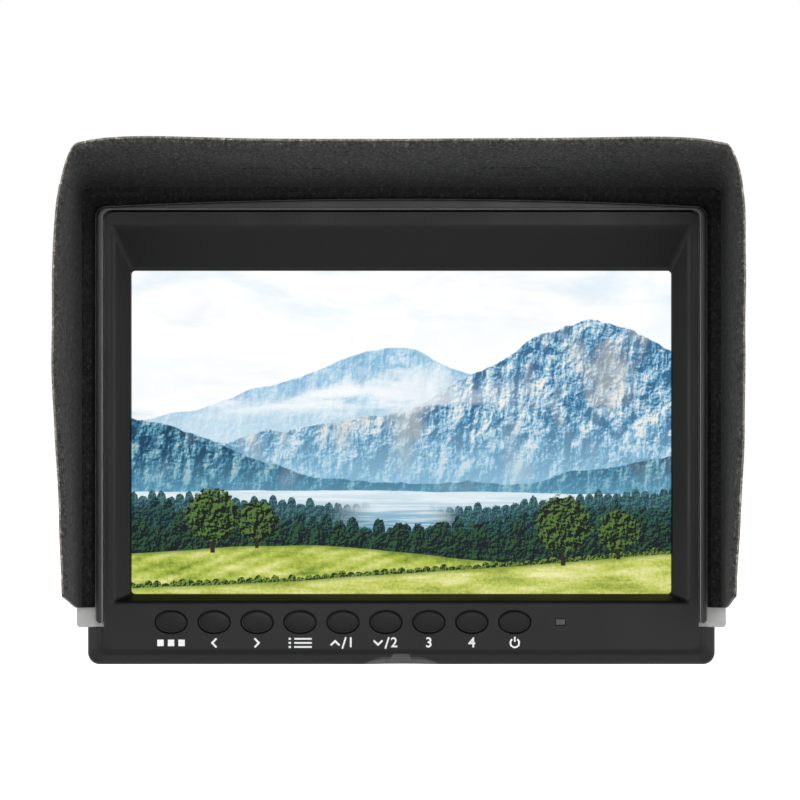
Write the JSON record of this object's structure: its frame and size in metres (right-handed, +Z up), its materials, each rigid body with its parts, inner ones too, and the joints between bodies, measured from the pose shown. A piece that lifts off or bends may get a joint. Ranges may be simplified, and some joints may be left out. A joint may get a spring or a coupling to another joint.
{
  "type": "camera field monitor",
  "caption": "Flat camera monitor with front keys, side sockets, rear battery plate and a folding three-flap sun hood that slides off.",
  "frame": {"origin": "mouth of the tripod socket in the middle of the underside", "axes": "+X to the viewer's right, -Y out of the screen towards the viewer, +Z up"},
  "size_m": [0.1928, 0.1202, 0.1504],
  "materials": {
    "case_plastic": "satin black moulded plastic",
    "key_plastic": "smooth black",
    "battery_plastic": "matte black",
    "rail_plastic": "satin black",
    "chip_black": "matte black",
    "light_pipe": "smoked clear",
    "backlight_white": "white diffuser",
    "screen_glass": "lit picture behind hard-coated glass",
    "foam": "black foam",
    "tray_steel": "plain steel sheet",
    "screw_steel": "plain steel",
    "screw_black": "black oxide",
    "socket_metal": "tinned shell",
    "nut_brass": "machined",
    "contact_gold": "gold plated",
    "circuit_board": "green solder mask",
    "ribbon_film": "amber film",
    "speaker_cone": "matte cone",
    "plate_metal": "light grey plate",
    "hood_fabric": "black woven fabric",
    "felt": "charcoal felt",
    "stiff_board": "stiffening board",
    "hook_and_loop": "black hook and loop"
  },
  "bodies": {
    "case": {"front_bezel": "case_plastic", "rear_housing": "case_plastic", "lcd_gasket": "foam", "lcd_glass": "screen_glass", "backlight_unit": "backlight_white", "lcd_tray": "tray_steel", "lcd_tray_screws": "screw_steel", "main_board": "circuit_board", "board_chips": "chip_black", "board_screws": "screw_steel", "key_board": "circuit_board", "tact_switches": "tray_steel", "status_light_pipe": "light_pipe", "lcd_ribbon": "ribbon_film", "key_ribbon": "ribbon_film", "hdmi_socket": "socket_metal", "audio_socket": "chip_black", "earphone_socket": "chip_black", "power_socket": "chip_black", "speaker": "speaker_cone", "tripod_nut": "nut_brass", "tripod_bracket": "tray_steel", "bracket_screws": "screw_steel", "housing_screws": "screw_black", "battery_plate": "battery_plastic", "battery_contacts": "contact_gold", "battery_plate_screws": "screw_black", "release_spring": "screw_steel"},
    "release": {"release_slider": "battery_plastic"},
    "mode_key_cap": {"mode_key": "key_plastic"},
    "left_key_cap": {"left_key": "key_plastic"},
    "right_key_cap": {"right_key": "key_plastic"},
    "menu_key_cap": {"menu_key": "key_plastic"},
    "function_key_1_cap": {"function_key_1": "key_plastic"},
    "function_key_2_cap": {"function_key_2": "key_plastic"},
    "function_key_3_cap": {"function_key_3": "key_plastic"},
    "function_key_4_cap": {"function_key_4": "key_plastic"},
    "power_key_cap": {"power_key": "key_plastic"},
    "hood": {"hood_carrier_plate": "plate_metal", "hood_frame": "rail_plastic", "hood_skirt": "hood_fabric"},
    "left_flap": {"left_flap_cover": "hood_fabric", "left_flap_board": "stiff_board", "left_flap_lining": "felt", "left_hook_patch": "hook_and_loop"},
    "right_flap": {"right_flap_cover": "hood_fabric", "right_flap_board": "stiff_board", "right_flap_lining": "felt", "right_hook_patch": "hook_and_loop"},
    "top_flap": {"top_flap_cover": "hood_fabric", "top_flap_board": "stiff_board", "top_flap_lining": "felt", "top_loop_patches": "hook_and_loop", "left_corner_wing": "hood_fabric", "right_corner_wing": "hood_fabric"}
  },
  "joints": [
    {"name": "mode_key_press", "type": "slide", "parent": "case", "child": "mode_key_cap", "axis": [0, 1, 0], "range_m": [0, 0.0006], "stiffness_N_per_m": 2000, "springref_m": -0.0002},
    {"name": "left_key_press", "type": "slide", "parent": "case", "child": "left_key_cap", "axis": [0, 1, 0], "range_m": [0, 0.0006], "stiffness_N_per_m": 2000, "springref_m": -0.0002},
    {"name": "right_key_press", "type": "slide", "parent": "case", "child": "right_key_cap", "axis": [0, 1, 0], "range_m": [0, 0.0006], "stiffness_N_per_m": 2000, "springref_m": -0.0002},
    {"name": "menu_key_press", "type": "slide", "parent": "case", "child": "menu_key_cap", "axis": [0, 1, 0], "range_m": [0, 0.0006], "stiffness_N_per_m": 2000, "springref_m": -0.0002},
    {"name": "function_key_1_press", "type": "slide", "parent": "case", "child": "function_key_1_cap", "axis": [0, 1, 0], "range_m": [0, 0.0006], "stiffness_N_per_m": 2000, "springref_m": -0.0002},
    {"name": "function_key_2_press", "type": "slide", "parent": "case", "child": "function_key_2_cap", "axis": [0, 1, 0], "range_m": [0, 0.0006], "stiffness_N_per_m": 2000, "springref_m": -0.0002},
    {"name": "function_key_3_press", "type": "slide", "parent": "case", "child": "function_key_3_cap", "axis": [0, 1, 0], "range_m": [0, 0.0006], "stiffness_N_per_m": 2000, "springref_m": -0.0002},
    {"name": "function_key_4_press", "type": "slide", "parent": "case", "child": "function_key_4_cap", "axis": [0, 1, 0], "range_m": [0, 0.0006], "stiffness_N_per_m": 2000, "springref_m": -0.0002},
    {"name": "power_key_press", "type": "slide", "parent": "case", "child": "power_key_cap", "axis": [0, 1, 0], "range_m": [0, 0.0006], "stiffness_N_per_m": 2000, "springref_m": -0.0002},
    {"name": "release_slide", "type": "slide", "parent": "case", "child": "release", "axis": [0, 0, -1], "range_m": [0, 0.003], "stiffness_N_per_m": 400, "springref_m": -0.001, "deforming": ["release_spring"]},
    {"name": "hood_lift", "type": "slide", "parent": "case", "child": "hood", "axis": [0, 0, 1], "range_m": [0, 0.125]},
    {"name": "left_flap_fold", "type": "hinge", "parent": "hood", "child": "left_flap", "pos_m": [-0.0938, -0.0162, 0.077], "axis": [0, 0, 1], "range_deg": [0, 90]},
    {"name": "right_flap_fold", "type": "hinge", "parent": "hood", "child": "right_flap", "pos_m": [0.0938, -0.0162, 0.077], "axis": [0, 0, -1], "range_deg": [0, 90]},
    {"name": "top_flap_fold", "type": "hinge", "parent": "hood", "child": "top_flap", "pos_m": [0, -0.0197, 0.1404], "axis": [1, 0, 0], "range_deg": [0, 95.7], "deforming": ["left_corner_wing", "right_corner_wing"]}
  ]
}
